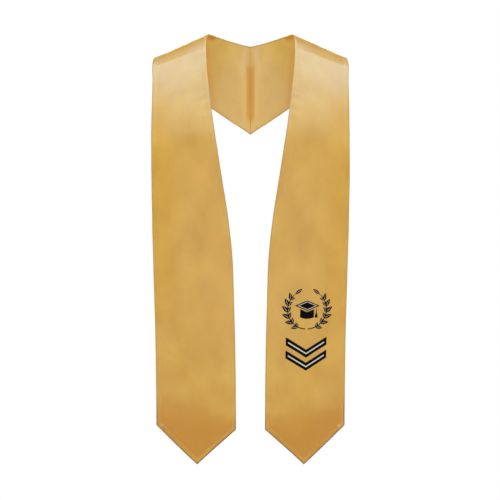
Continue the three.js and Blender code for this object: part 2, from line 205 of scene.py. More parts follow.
# Rows and columns of the cloth's surface.
EDGE_STEPS = (0.0, 0.15, 0.4, 0.8, 1.25, 1.75, 2.5, 3.6, 4.9, 6.2, 7.2, 8.2, 9.3, 10.6)
END_STEPS = (
    *(0.0, 0.15, 0.4, 0.8, 1.25, 1.75, 2.6, 3.8, 5.2),
    *(6.6, 7.3, 8.0, 8.8, 9.8, 11.2, 13, 15),
)
END_SLANT = 1.37  # way along the band for each step square to the pointed edges
ROW_STEP = 2.5
COLUMN_STEP = 2.7
LEAN_FROM = 0.72  # share of the band where the rows start to lean towards the pointed edges
LEAN_WHOLE = 30.0  # rows this near to the tip run along them
FAN_FROM = 10.0  # rows this near to the seam run along it
FAN_TO = 44.0
PROBE_ALONG = 0.5  # how far to each side the surface is read to find its slope
PROBE_ACROSS = 0.01

SECTION_COLUMNS = ("neck_x", "neck_y", "neck_z", "out_x", "out_y", "out_z", "crown")

# Back of the band, from the centre seam towards the top of the shoulder.
BACK_SECTIONS = [
    (0, 1, 1, 0, 1, 1, 0.5),  # centre seam
    (0.1, 0.965, 0.9, 0.084, 0.965, 0.922, 0.05),  # groove beside it
    (0.196, 0.945, 0.81, 0.188, 0.934, 0.836, 0.1),  # beside the spine
    (0.536, 0.771, 0.41, 0.478, 0.813, 0.574, 0.2),  # nape
    (0.777, 0.471, 0.14, 0.724, 0.571, 0.325, 0.2),  # shoulder blade
    (0.918, 0.2, 0, 0.884, 0.264, 0.153, 0.1),  # yoke
]

# Front of the band, from the top of the shoulder down to the level of the tip.
FRONT_SECTIONS = [
    (1, 0, 0, 0.61, 0, 0, 0),  # shoulder line
    (1.067, 0.087, 0.0068, 0.97, 0.103, 0.0099, 0.05),  # roll over the shoulder
    (1.087, 0.192, 0.0206, 1, 0.206, 0.0258, 0.1),  # brow of the shoulder
    (1.09, 0.317, 0.0429, 0.97, 0.33, 0.0491, 0.2),  # slope below it
    (1.071, 0.452, 0.0744, 0.96, 0.454, 0.0799, 0.35),  # collar bone
    (0.996, 0.615, 0.1222, 1, 0.577, 0.1225, 0.6),  # top of the chest
    (0.869, 0.769, 0.1856, 1.03, 0.691, 0.1772, 0.85),  # chest
    (0.719, 0.875, 0.2507, 1, 0.773, 0.2365, 1),  # foot of the chest
    (0.494, 0.952, 0.3427, 0.94, 0.845, 0.3247, 1),  # top of the fall
    (0.271, 0.99, 0.4345, 0.81, 0.897, 0.415, 0.95),  # fall
    (0.121, 1, 0.526, 0.61, 0.938, 0.5052, 0.9),  # above the waist
    (0.071, 1, 0.6176, 0.41, 0.969, 0.5976, 0.85),  # waist
    (0.033, 0.99, 0.7091, 0.19, 0.99, 0.69, 0.8),  # below the waist
    (0.01, 0.971, 0.8008, 0.1, 1, 0.7847, 0.7),  # skirt
    (0, 0.933, 0.8996, 0.02, 0.99, 0.8846, 0.55),  # corners of the end
    (0, 0.875, 1, 0, 0.948, 1, 0.4),  # level of the tip
]

# Soft folds of the hanging cloth: place along the band and across it, length and width as
# shares of the band's length and width, lean in degrees, and rise as a share of FOLD_RISE.
FOLD_COLUMNS = ("along", "across", "length", "width", "lean", "rise")
FOLDS = [
    (0.3, 0.1, 0.05, 0.22, 70, -0.5),
    (0.38, 0.62, 0.12, 0.16, 8, 0.45),
    (0.52, 0.3, 0.14, 0.18, -6, -0.6),
    (0.64, 0.7, 0.13, 0.16, 5, 0.6),
    (0.78, 0.28, 0.1, 0.17, 10, 0.8),
    (0.86, 0.66, 0.09, 0.2, -8, -1),
]

# Waves of the cloth: length across and along in millimetres, height, and whether the two
# halves share them.
WAVE_COLUMNS = ("across", "along", "height", "shared")
WAVES = [
    (75, 120, 0.8, True),
    (34, 46, 0.36, True),
    (16, 20, 0.14, True),
    (60, 90, 0.7, False),
    (26, 20, 0.16, False),
]
CREASE_AT = 212.5  # along the band, of the crease where the cloth breaks over the shoulder
CREASE_SKEW = -17.0  # how much sooner it comes at the outer edge
CREASE_HEIGHT = 1.7
CREASE_REACH = 12.0
CREASE_ROUND = 4.0
GROOVE_HALF = 8.6  # half width of the groove along the centre seam
GROOVE_DEPTH = 0.5
GROOVE_LIP = 0.2
GROOVE_LIP_SET = 3.0  # from the side of the groove to the top of the lip
GROOVE_LIP_REACH = 3.5
GROOVE_FROM = 0.18  # where it starts and ends, as shares of the seam
GROOVE_TO = 0.88
GROOVE_OUTSIDE = 0.05  # how far it dies away outside of those places, and how far inside
GROOVE_INSIDE = 0.1
PUCKER_LENGTH = 9.0  # of the small waves that the stitching draws in along the edges
PUCKER_REACH = 8.0
PUCKER_HEIGHT = 0.09

# Places in the noise: of each half, of the waves that both share, and of the two edges.
SIDE_SEEDS = {"left": 40.3, "right": 60.7}
SHARED_SEED = 0.5
EDGE_SEEDS = (20.5, 21.5)

# Small puckers: distance along the band, distance in from the neck edge (or from the outer
# edge where negative), length and width in millimetres, lean in degrees, and rise.
PUCKER_COLUMNS = ("along", "inwards", "length", "width", "lean", "rise")
PUCKERS = [
    (252, 8, 10, 2.4, 80, 0.2),
    (292, 9, 10, 2.4, 84, 0.3),
    (300, 8, 12, 2.2, 88, -0.28),
    (309, 9, 11, 2.4, 92, 0.28),
    (318, 8, 12, 2.4, 86, -0.3),
    (328, 9, 10, 2.6, 90, 0.26),
    (368, 8, 9, 2.4, 95, 0.24),
    (384, 8, 9, 2.4, 88, 0.2),
    (488, -8, 9, 2.5, 95, 0.28),
    (497, -8, 9, 2.5, 88, -0.28),
    (502, 8, 5, 3, 40, -0.4),
    (560, -8, 8, 2.5, 90, 0.28),
    (600, 24, 22, 5, 62, -0.5),
    (722, -28, 10, 3, 65, 0.4),
    (732, -25, 12, 3, 60, -0.4),
    (742, -30, 9, 3, 72, 0.4),
    (762, 16, 16, 3.5, 80, -0.4),
    (771, 22, 14, 3.5, 86, 0.35),
    (857.5, -10, 8, 2.6, 97, 2.1),  # folded corner of the hem
]


# Names the columns of a table.
def table(columns, rows):
    return [dict(zip(columns, row)) for row in rows]


def mix(low, high, share):
    return low + (high - low) * share


def between(low, high, value):
    return np.clip((value - low) / (high - low), 0.0, 1.0)


def eased(low, high, value):
    share = between(low, high, value)
    return share * share * (3 - 2 * share)


# The two edge points of one row of the table of the back.
def back_section(row):
    foot = NAPE_DROP + SEAM_HEIGHT
    neck = (row["neck_x"] * NECK_HALF, row["neck_y"] * NAPE_REACH, -row["neck_z"] * NAPE_DROP)
    out = (
        row["out_x"] * SHOULDER_HALF,
        mix(CREST_SET, SEAM_REACH, row["out_y"]),
        -mix(SHOULDER_FALL, foot, row["out_z"]),
    )
    return neck, out


# The two edge points of one row of the table of the front.
def front_section(row):
    neck = (
        mix(END_GAP_HALF, NECK_HALF, row["neck_x"]),
        -row["neck_y"] * CHEST_REACH,
        -row["neck_z"] * FRONT_LENGTH,
    )
    out = (
        mix(END_GAP_HALF + END_WIDTH, SHOULDER_HALF, row["out_x"]),
        mix(CREST_SET, -FLANK_REACH, row["out_y"]),
        -mix(SHOULDER_FALL, FRONT_LENGTH, row["out_z"]),
    )
    return neck, out


BACK_ROWS = table(SECTION_COLUMNS, BACK_SECTIONS)
FRONT_ROWS = table(SECTION_COLUMNS, FRONT_SECTIONS)
EDGES = [back_section(row) for row in BACK_ROWS] + [front_section(row) for row in FRONT_ROWS]
NECK_EDGE = np.array([edge[0] for edge in EDGES], dtype=float)
OUT_EDGE = np.array([edge[1] for edge in EDGES], dtype=float)
CROWN = np.array([[row["crown"] * PANEL_CROWN] for row in BACK_ROWS + FRONT_ROWS])
MIDDLE = (NECK_EDGE + OUT_EDGE) / 2
ALONG = np.concatenate([[0.0], np.cumsum(np.linalg.norm(np.diff(MIDDLE, axis=0), axis=1))])
BAND_LENGTH = ALONG[-1]


# A value read from the sections at distances along the band, on a smooth curve through them.
def smoothly(values, along):
    last = len(ALONG) - 1
    after = np.minimum(np.arange(last + 1) + 1, last)
    before = np.maximum(np.arange(last + 1) - 1, 0)
    slopes = (values[after] - values[before]) / (ALONG[after] - ALONG[before])[:, None]
    i = np.searchsorted(ALONG[1:last], along, side="left")
    span = (ALONG[i + 1] - ALONG[i])[..., None]
    t = (along - ALONG[i])[..., None] / span
    return (
        values[i] * (2 * t**3 - 3 * t**2 + 1)
        + slopes[i] * span * (t**3 - 2 * t**2 + t)
        + values[i + 1] * (3 * t**2 - 2 * t**3)
        + slopes[i + 1] * span * (t**3 - t**2)
    )


def width_at(along):
    return np.linalg.norm(smoothly(OUT_EDGE, along) - smoothly(NECK_EDGE, along), axis=-1)


# The straight line between the two edges, before the crown and the folds.
def ruled_point(along, across):
    neck = smoothly(NECK_EDGE, along)
    out = smoothly(OUT_EDGE, along)
    return mix(neck, out, across[..., None])


# The direction out of the cloth, away from the body, of any surface over the band.
def outward(surface, along, across):
    down = surface(along + PROBE_ALONG, across) - surface(along - PROBE_ALONG, across)
    aside = surface(along, across + PROBE_ACROSS) - surface(along, across - PROBE_ACROSS)
    normal = np.cross(down, aside)
    return normal / np.linalg.norm(normal, axis=-1, keepdims=True)


# A rise that is highest at one place and dies away around it, longer one way than the other.
def mound(down, aside, lean, length, width):
    ahead = (down * math.cos(lean) + aside * math.sin(lean)) / length
    beside = (aside * math.cos(lean) - down * math.sin(lean)) / width
    return np.exp(-(ahead**2) - beside**2)


# How far the soft folds lift the cloth.
def fold_rise(along, across):
    width = width_at(along)
    rise = np.zeros_like(along)
    for fold in table(FOLD_COLUMNS, FOLDS):
        down = along - fold["along"] * BAND_LENGTH
        aside = (across - fold["across"]) * width
        size = (fold["length"] * BAND_LENGTH, fold["width"] * width)
        lift = mound(down, aside, math.radians(fold["lean"]), *size)
        rise += fold["rise"] * FOLD_RISE * lift
    return rise


# The middle surface of the band, with its crown and folds.
def band_point(along, across):
    crown = smoothly(CROWN, along)[..., 0] * 4 * across * (1 - across)
    lift = crown + fold_rise(along, across)
    normal = outward(ruled_point, along, across)
    return ruled_point(along, across) + normal * lift[..., None]


# How far the pointed end stops short of the level of the tip.
def short_of_tip(across):
    outer = POINT_DROP * (across - TIP_ACROSS) / (1 - TIP_ACROSS)
    inner = (POINT_DROP - CORNER_STEP) * (TIP_ACROSS - across) / TIP_ACROSS
    return np.where(across > TIP_ACROSS, outer, inner)


# How far each place is from the pointed end, square to it.
def from_end(along, across):
    drop = np.where(
        across > TIP_ACROSS,
        POINT_DROP / ((1 - TIP_ACROSS) * END_WIDTH),
        (POINT_DROP - CORNER_STEP) / (TIP_ACROSS * END_WIDTH),
    )
    return (BAND_LENGTH - short_of_tip(across) - along) / np.sqrt(1 + drop**2)


# The sine of the angle between an edge and the section: 1 where the edge is square to it.
def squareness(edge, along):
    run = smoothly(edge, along + PROBE_ALONG) - smoothly(edge, along - PROBE_ALONG)
    section = smoothly(OUT_EDGE, along) - smoothly(NECK_EDGE, along)
    sine = np.linalg.norm(np.cross(run, section), axis=-1)
    return sine / (np.linalg.norm(run, axis=-1) * np.linalg.norm(section, axis=-1))


# Distances from the neck edge and from the outer edge.
def from_edges(along, across):
    width = width_at(along)
    neck = across * width * squareness(NECK_EDGE, along)
    out = (1 - across) * width * squareness(OUT_EDGE, along)
    return neck, out


def even_steps(start, stop, step):
    count = max(1, round((stop - start) / step))
    return np.linspace(start, stop, count + 1)[1:-1]


# The rows and columns of the cloth: distances along the band and shares across it. Near each
# edge they run along it, at set distances.
def cloth_grid():
    near = np.array(EDGE_STEPS)
    far = BAND_LENGTH - np.array(END_STEPS)[::-1] * END_SLANT
    rows = np.concatenate([near, even_steps(near[-1], far[0], ROW_STEP), far])
    width = width_at(rows)
    inner = near[None, :] / (width * squareness(NECK_EDGE, rows))[:, None]
    outer = 1 - near[None, ::-1] / (width * squareness(OUT_EDGE, rows))[:, None]
    half = END_WIDTH / 2 - near[-1]
    shares = np.linspace(0, 1, round(half / COLUMN_STEP) + 1)[1:]
    left = mix(inner[:, -1:], TIP_ACROSS, shares[None, :])
    right = mix(outer[:, :1], TIP_ACROSS, shares[None, ::-1][:, 1:])
    across = np.concatenate([inner, left, right, outer], axis=1)
    start = np.repeat(rows[:, None], across.shape[1], axis=1)
    lean = eased(LEAN_FROM * BAND_LENGTH, BAND_LENGTH - LEAN_WHOLE, start)
    along = start - short_of_tip(across) * lean
    first = mix(NECK_EDGE[1, 0], OUT_EDGE[1, 0], across)
    fan = ((NECK_EDGE[1, 0] + OUT_EDGE[1, 0]) / 2) / first
    along = np.where(start < FAN_TO, start * mix(fan, 1.0, eased(FAN_FROM, FAN_TO, start)), along)
    return along, across


# Soft noise over the cloth, one value a point.
def waves(aside, down, across, along, seed):
    places = zip((aside / across).ravel(), (down / along).ravel())
    values = [noise.noise(Vector((u, v, seed))) for u, v in places]
    return np.array(values).reshape(aside.shape)


# The crease over the shoulder: a rounded ridge across the band.
def crease_rise(along, across):
    off = along - CREASE_AT - CREASE_SKEW * across
    distance = np.sqrt(off**2 + CREASE_ROUND**2) - CREASE_ROUND
    return CREASE_HEIGHT * np.exp(-distance / CREASE_REACH)


# The groove along the centre seam, as seen from inside the neck, with a lip beside it.
def groove_rise(along, across):
    aside = np.abs(ruled_point(along, across)[..., 0])
    deep = np.maximum(0, 1 - aside / GROOVE_HALF)
    lip = np.exp(-(((aside - GROOVE_HALF - GROOVE_LIP_SET) / GROOVE_LIP_REACH) ** 2))
    share = eased(GROOVE_FROM - GROOVE_OUTSIDE, GROOVE_FROM + GROOVE_INSIDE, across)
    share *= 1 - eased(GROOVE_TO - GROOVE_INSIDE, GROOVE_TO + GROOVE_OUTSIDE, across)
    return share * (GROOVE_DEPTH * deep - GROOVE_LIP * lip)


# How far the small waves and puckers lift both layers.
def fine_rise(along, across, seed):
    width = width_at(along)
    aside = (across - 0.5) * width
    rise = crease_rise(along, across) + groove_rise(along, across)
    for number, wave in enumerate(table(WAVE_COLUMNS, WAVES)):
        place = number + (SHARED_SEED if wave["shared"] else seed)
        rise += wave["height"] * waves(aside, along, wave["across"], wave["along"], place)
    neck, out = from_edges(along, across)
    for edge, place in zip((neck, out), EDGE_SEEDS):
        drawn = waves(np.zeros_like(along), along, 1, PUCKER_LENGTH, place + seed)
        rise += PUCKER_HEIGHT * drawn * np.exp(-((edge / PUCKER_REACH) ** 2))
    for row in table(PUCKER_COLUMNS, PUCKERS):
        edge = neck if row["inwards"] > 0 else out
        place = (along - row["along"], edge - abs(row["inwards"]))
        size = (row["length"], row["width"])
        rise += row["rise"] * mound(*place, math.radians(row["lean"]), *size)
    return rise


# How far the outer side of a layer stands off the middle surface: rounded at the edge, raised
# over the seam allowance, and level beyond it.
def layer_height(edge, allowance, rise=TURN_RISE):
    turn = np.sqrt(1 - (1 - between(0, TURN_WIDTH, edge)) ** 2)
    raised = rise * (1 - eased(allowance, allowance + ALLOWANCE_SLOPE, edge))
    return EDGE_HALF + (LAYER_OUTER - EDGE_HALF + raised) * turn


# The height of a layer at each place of the cloth, from its nearest edge.
def cloth_height(along, across, point):
    side = np.minimum(*from_edges(along, across))
    end = from_end(along, across)
    seam = point[..., 0]
    raised = layer_height(side, ALLOWANCE)
    raised = np.maximum(raised, layer_height(end, END_ALLOWANCE, END_RISE))
    raised = np.maximum(raised, layer_height(np.abs(seam), ALLOWANCE))
    near_end = 1 - eased(END_ALLOWANCE, END_ALLOWANCE + ALLOWANCE_SLOPE, end)
    edge = np.minimum(side, np.minimum(end, seam))
    rounded = layer_height(edge, ALLOWANCE, mix(TURN_RISE, END_RISE, near_end))
    return np.where(edge < TURN_WIDTH, rounded, raised)


# The middle surface with its waves and puckers, and the direction out of it.
def lifted_point(along, across, seed):
    middle = band_point(along, across)
    normal = outward(band_point, along, across)
    return middle + normal * fine_rise(along, across, seed)[..., None], normal


# For each layer, how far its places are from the nearest rim of painted shade and from the centre
# seam.
def cloth_borders(along, across, seam):
    neck, out = from_edges(along, across)
    clear = {"face": 1 - eased(RIM_FROM, RIM_WHOLE, along), "lining": 0}
    borders = {}
    for layer, free in clear.items():
        side = np.minimum(neck + free * EDGE_STEPS[-1], out)
        distances = zip(RIM_SHARES, (side, from_end(along, across), seam))
        rim = np.min([share * distance for share, distance in distances], axis=0)
        borders[layer] = np.stack([rim, seam], axis=-1)
    return borders


# One half: the grids of points of the outer and inner side of its face and of its lining, the
# places on the cloth, and the distances from its borders.
def cloth_half(seed):
    along, across = cloth_grid()
    lifted, normal = lifted_point(along, across, seed)
    height = cloth_height(along, across, band_point(along, across))
    sides = {
        "face": (lifted + normal * height[..., None], lifted + normal * LAYER_INNER),
        "lining": (lifted - normal * LAYER_INNER, lifted - normal * height[..., None]),
    }
    for outer, inner in sides.values():
        for points in (outer, inner):
            points[..., 0] = np.maximum(points[..., 0], SEAM_CLEAR)
            points[0, :, 0] = SEAM_CLEAR
    uv = np.stack([(across - 0.5) * width_at(along), along], axis=-1)
    return sides, uv, cloth_borders(along, across, lifted[..., 0])


# The faces of a closed sheet between two grids of points, the second numbered on from the first.
def sheet_faces(rows, columns, start):
    index = start + np.arange(rows * columns).reshape(rows, columns)
    back = index + rows * columns
    quads = [
        np.stack([index[:-1, :-1], index[1:, :-1], index[1:, 1:], index[:-1, 1:]], axis=-1),
        np.stack([back[:-1, :-1], back[:-1, 1:], back[1:, 1:], back[1:, :-1]], axis=-1),
        np.stack([index[:-1, :1], back[:-1, :1], back[1:, :1], index[1:, :1]], axis=-1),
        np.stack([index[1:, -1:], back[1:, -1:], back[:-1, -1:], index[:-1, -1:]], axis=-1),
        np.stack([index[:1, 1:], back[:1, 1:], back[:1, :-1], index[:1, :-1]], axis=-1),
        np.stack([index[-1:, :-1], back[-1:, :-1], back[-1:, 1:], index[-1:, 1:]], axis=-1),
    ]
    return np.concatenate([quad.reshape(-1, 4) for quad in quads])


# Adds a map with the place on the cloth of each point, in metres.
def add_places(mesh, name, places, faces):
    corners = (np.concatenate(places) * MM)[faces.ravel()]
    mesh.uv_layers.new(name=name).data.foreach_set("uv", corners.ravel())


# One piece of closed sheets, each from the grids of its outer and inner side and of its places.
# Borders gives the distances of each point from the nearest edge and from the centre seam.
def make_piece(name, sheets, mirrored=False, borders=None):
    points, faces, places = [], [], []
    start = 0
    for outer, inner, uv in sheets:
        faces.append(sheet_faces(*outer.shape[:2], start))
        points += [outer.reshape(-1, 3), inner.reshape(-1, 3)]
        places += [uv.reshape(-1, 2)] * 2
        start += 2 * outer.shape[0] * outer.shape[1]
    points = np.concatenate(points) * MM
    faces = np.concatenate(faces)
    if mirrored:
        points[:, 0] *= -1
        faces = faces[:, ::-1]
    mesh = bpy.data.meshes.new(name)
    mesh.from_pydata(points.tolist(), [], faces.tolist())
    mesh.polygons.foreach_set("use_smooth", [True] * len(faces))
    add_places(mesh, "cloth", places, faces)
    if borders is not None:
        add_places(mesh, "borders", [borders.reshape(-1, 2)] * 2, faces)
    mesh.update()
    piece = bpy.data.objects.new(name, mesh)
    bpy.context.scene.collection.objects.link(piece)
    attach(piece, "root")
    return piece


# The cells of one patch of film: shares down it and to the right.
def cells(patch):
    rows, columns = PATCH_CELLS[patch]
    return np.meshgrid(np.linspace(0, 1, rows + 1), np.linspace(0, 1, columns + 1), indexing="ij")


# A film on the face of the cloth, between two heights above it. Places on it are shares of the
# emblem's width, to the right and up.
def film(right, up, under, top):
    along = BAND_LENGTH - EMBLEM_RISE - up * EMBLEM_WIDTH
    across = 0.5 + right * EMBLEM_WIDTH / width_at(along)
    lifted, normal = lifted_point(along, across, SIDE_SEEDS["left"])
    uv = np.stack([right, -up], axis=-1) * EMBLEM_WIDTH
    return lifted + normal * (LAYER_OUTER + top), lifted + normal * (LAYER_OUTER + under), uv


def black(right, up):
    return film(right, up, FILM_UNDER, FILM_TOP)


def grey(right, up):
    return film(right, up, INLINE_UNDER, INLINE_TOP)


def turned(x, y, angle):
    return x * np.cos(angle) - y * np.sin(angle), x * np.sin(angle) + y * np.cos(angle)


# Places along the middle of a branch's stem, an arc from its foot up to its tip.
def stem_place(share):
    angle = mix(STEM_FROM, STEM_TO, share)
    return WREATH_RADIUS * np.cos(angle), WREATH_MIDDLE + WREATH_RADIUS * np.sin(angle)


def stem_heading(share):
    return mix(STEM_FROM, STEM_TO, share) + math.pi / 2


# The stem itself, a strip that narrows towards its tip.
def stem():
    down, right = cells("stem")
    share = STEM_END * down
    x, y = stem_place(share)
    half = STEM_HALF * np.minimum(1, STEM_TIP + STEM_TAPER * (1 - down))
    aside_x, aside_y = turned(0, 1, stem_heading(share))
    offset = (1 - 2 * right) * half
    return x + aside_x * offset, y + aside_y * offset


# A leaf from its base along a heading: a pointed oval with a bend. Vein asks for its midrib.
def leaf(base, heading, length, half, bend, vein=False):
    down, right = cells("vein" if vein else "leaf")
    share = mix(*VEIN_SPAN, down) if vein else down
    oval = np.sin(math.pi * share**LEAF_SKEW) ** LEAF_FULL * (1 - LEAF_THIN * share)
    width = VEIN_HALF * (1 - VEIN_THIN * down) if vein else half * oval
    x = share * length
    y = (1 - 2 * right) * width + bend * half * np.sin(math.pi * share)
    x, y = turned(x, y, heading)
    return base[0] + x, base[1] + y


# The leaves of one branch, each as its base, heading, length, half width and bend.
def branch_leaves():
    leaves = []
    for row in table(LEAF_COLUMNS, LEAVES):
        heading = stem_heading(row["along"])
        x, y = stem_place(row["along"])
        for turn, size in ((1, INNER_LEAF), (-1, 1)):
            away_x, away_y = turned(0, turn * STEM_HALF * LEAF_SET, heading)
            base = (x + away_x, y + away_y)
            lean = heading + turn * LEAF_LEAN
            bend = -turn * LEAF_BEND
            leaves.append((base, lean, row["length"] * size, row["width"] * size, bend))
    base, heading = stem_place(TIP_LEAF_AT), stem_heading(TIP_LEAF_AT)
    leaves.append((base, heading, TIP_LEAF_LENGTH, TIP_LEAF_HALF, 0))
    return leaves


# The black sheets of one branch and the light midribs of its leaves.
def branch(flip):
    shapes = [stem()] + [leaf(*shape) for shape in branch_leaves()]
    veins = [leaf(*shape, vein=True) for shape in branch_leaves()]
    return [black(x * flip, y) for x, y in shapes], [grey(x * flip, y) for x, y in veins]


# The flat board of the cap, a rhomb seen a little from above.
def board(down, right):
    return (right - down) * BOARD_HALF, BOARD_MIDDLE + (1 - down - right) * BOARD_RISE


# A line inside the board's rim, from one corner of a smaller rhomb to the next.
def board_line(corner):
    corners = [(0, 0), (1, 0), (1, 1), (0, 1), (0, 0)]
    down, right = cells("board_line")
    shift = BOARD_INSET + (right - 0.5) * 2 * BOARD_LINE
    rim = []
    for start, stop in zip(corners[corner], corners[corner + 1]):
        first, last = mix(shift, 1 - shift, start), mix(shift, 1 - shift, stop)
        rim.append(first * (1 - down) + last * down)
    return board(*rim)


# The part of the cap that shows under the board.
def cap(down, right):
    aside = 2 * right - 1
    peak = BOARD_MIDDLE - BOARD_RISE - CAP_LINE
    top = peak + BOARD_RISE / BOARD_HALF * CAP_HALF * np.abs(aside)
    foot = peak - CAP_HEIGHT - CAP_SAG * (1 - aside**2)
    return aside * CAP_HALF, mix(top, foot, down)


def tassel(down, right):
    half = mix(TASSEL_CORD, TASSEL_FOOT, between(*TASSEL_KNOT, down))
    return TASSEL_PLACE + (2 * right - 1) * half, TASSEL_TOP - down * TASSEL_LENGTH


# A stripe in the middle of a chevron's height. The chevron points down, as the panel's end does.
def stripe(down, right, top, half, band):
    aside = (2 * right - 1) * half
    edge = top - CHEVRON_SLOPE * (CHEVRON_HALF - np.abs(aside))
    return aside, edge - (CHEVRON_BAND - band) / 2 - down * band


# A new shader node. A value that is another node's socket is linked, and any other is set.
def add(tree, kind, values, **settings):
    node = tree.nodes.new(kind)
    for name, setting in settings.items():
        setattr(node, name, setting)
    fill(tree, node, values)
    return node


def fill(tree, node, values):
    for name, value in values.items():
        if isinstance(value, bpy.types.NodeSocket):
            tree.links.new(value, node.inputs[name])
        else:
            node.inputs[name].default_value = value


def new_material(name):
    material = bpy.data.materials.new(name)
    material.use_nodes = True
    tree = material.node_tree
    return material, tree, tree.nodes["Principled BSDF"]


def uv_places(tree, name):
    return add(tree, "ShaderNodeUVMap", {}, uv_map=name).outputs["UV"]


def split(tree, vector):
    outputs = add(tree, "ShaderNodeSeparateXYZ", {"Vector": vector}).outputs
    return outputs["X"], outputs["Y"], outputs["Z"]


# A share that goes smoothly from 0 to 1 between two values, the first of which may be the higher.
def ramped(tree, value, low, high):
    values = {"Value": value, "From Min": low, "From Max": high}
    ramp = add(tree, "ShaderNodeMapRange", values, interpolation_type="SMOOTHSTEP")
    return ramp.outputs["Result"]


def product(tree, *factors):
    result = factors[0]
    for factor in factors[1:]:
        times = add(tree, "ShaderNodeMath", {0: result, 1: factor}, operation="MULTIPLY")
        result = times.outputs["Value"]
    return result


def plus(tree, start, value, times):
    total = add(tree, "ShaderNodeMath", {0: value, 1: times, 2: start}, operation="MULTIPLY_ADD")
    return total.outputs["Value"]


def tinted(tree, color, share, tint):
    values = {"Factor": share, "A": color, "B": tint}
    return add(tree, "ShaderNodeMix", values, data_type="RGBA").outputs["Result"]


# The colour at a share, from two or three stops: each is its share and its colour.
def graded(tree, share, stops):
    ramp = add(tree, "ShaderNodeValToRGB", {"Fac": share})
    elements = ramp.color_ramp.elements
    if len(stops) > 2:
        elements.new(0.5)
    for element, (position, color) in zip(elements, stops):
        element.position = position
        element.color = color
    return ramp.outputs["Color"]


# One of the noises of the table of grains.
def grain(tree, vector, name):
    scale, detail = GRAINS[name]
    mapping = add(tree, "ShaderNodeMapping", {"Vector": vector, "Scale": scale})
    values = {"Vector": mapping.outputs["Vector"], "Scale": 1.0, "Detail": detail}
    return add(tree, "ShaderNodeTexNoise", values).outputs["Fac"]


# Small relief from a share, over another relief where one is given.
def relief(tree, height, name, under=None):
    strength, depth = RELIEFS[name]
    values = {"Strength": strength, "Distance": depth, "Height": height}
    if under is not None:
        values["Normal"] = under
    return add(tree, "ShaderNodeBump", values).outputs["Normal"]


# Shades of each satin: deep and pale ones of its own all over, a painted shade at the pointed
# ends, and one along the centre seam that is the pressed seam allowance showing through with
# painted shade of its groove.
SATIN_COLUMNS = ("name", "deep", "pale", "end", "seam", "roughness")
SATINS = [
    (
        "satin_face",
        (0.558, 0.284, 0.018, 1),
        (0.65, 0.376, 0.041, 1),
        (0.537, 0.234, 0.002, 1),
        (0.58, 0.33, 0.05, 1),
        0.36,
    ),
    # The lining's deep and pale gold are paler than the face's: the cloth's own gold with painted
    # light added for the sheen it shows.
    (
        "satin_lining",
        (0.623, 0.395, 0.081, 1),
        (0.715, 0.476, 0.123, 1),
        (0.64, 0.38, 0.08, 1),
        (0.63, 0.355, 0.068, 1),
        0.4,
    ),
]
SATIN_STOPS = (0.33, 0.68)  # of the uneven share, for the deep and for the pale shade
STREAKS = 0.25  # how much of that share is fine streaks
GLOSS_SPREAD = 0.05
SATIN_SHEEN = {"Anisotropic": 0.6, "IOR": 1.6, "Specular IOR Level": 1.0}

# How fine the satin's noises are across and along the cloth, and their levels of detail.
GRAINS = {
    "clouds": ((22, 16, 1), 3),
    "streaks": ((1600, 60, 1), 2),
    "gloss": ((60, 30, 1), 2),
    "threads": ((2400, 300, 1), 1),
    "mottle": ((130, 90, 1), 3),
}

# Strength of each fine relief, and its depth in metres.
RELIEFS = {"threads": (0.12, 0.0001), "mottle": (0.25, 0.0004), "print": (0.2, 0.0001)}

# Where each painted shade, painted highlight and tint starts and where it is whole, in metres on
# the cloth.
# Painted shade towards the pointed ends, darker and more orange, in place of the light that the
# ends catch less as they tilt away.
END_PAINTED_SHADE_SPAN = (0.844, 0.895)  # from the seam, with the shift
END_SKEW = 0.17  # how much sooner it starts towards the outer edge
END_SHIFT = 0.08  # how far the patches shift its start
END_PATCHES = 16.0  # how fine the patches are
HEM_SHADE = (0.0085, 0.006)  # in from the edge of the pointed end, where the hem is turned
HEM_PATCHES = (0.35, 0.65)  # of the patches, where the tint starts and is whole
HEM_TINT = (0.6, 0.3, 0.025, 1)
# Painted shade along the rounded edges and the seam's ditch, darker along the pointed edges.
EDGE_PAINTED_SHADE_SPAN = (0.0029, 0.00087)  # in from the edge
EDGE_PAINTED_SHADE = (0.46, 0.29, 0.05, 1)
END_EDGE_PAINTED_SHADE = (0.2, 0.105, 0.03, 1)
# Darker strip beside the centre seam: the pressed seam allowance showing through, with painted
# shade of the groove over it.
SEAM_SHADE = (0.008295, 0.007505)  # to each side of the seam
SEAM_SHADE_TOP = (-0.05, -0.034)  # along the seam from its middle, down being positive
SEAM_SHADE_FOOT = (0.063, 0.047)

# The same for the marks that only the lining has: a painted highlight on the cloth beside the
# seam, painted shade where the neck edge turns over the shoulders, and painted shade in the
# corners beside them.
SPINE_HIGHLIGHT_SPAN = (0.02, 0.009)
SPINE_PAINTED_HIGHLIGHT = (0.685, 0.456, 0.14, 1)
# Painted shade on the lining where it turns under the shoulder, away from the light.
SHOULDER_SHADE = (0.064, 0.0745)  # from the seam
SHOULDER_SKEW = 0.12  # how much nearer the seam it comes towards the outer edge
SHOULDER_END = (0.26, 0.2)  # along the band, where it has died away and where it is whole
SHOULDER_PAINTED_SHADE = (0.69, 0.39, 0.073, 1)
# Deeper orange painted shade in the corners under the top of the shoulder.
CORNER_SHADE = (0.017, 0.0017)  # in from the neck edge
CORNER_START = (0.105, 0.13)  # along the band
CORNER_PAINTED_SHADE = (0.5, 0.165, 0.012, 1)

INK_COLUMNS = ("name", "color", "roughness")
INK_ROWS = [
    ("print", (0.0025, 0.002, 0.0015, 1), 0.5),
    ("print_inline", (0.47, 0.45, 0.4, 1), 0.5),
]
INK_GRAIN = {"Scale": 900, "Detail": 3}
INK_LIFT = 1.35  # how much lighter its light grains are
INK_SPECULAR = 0.1


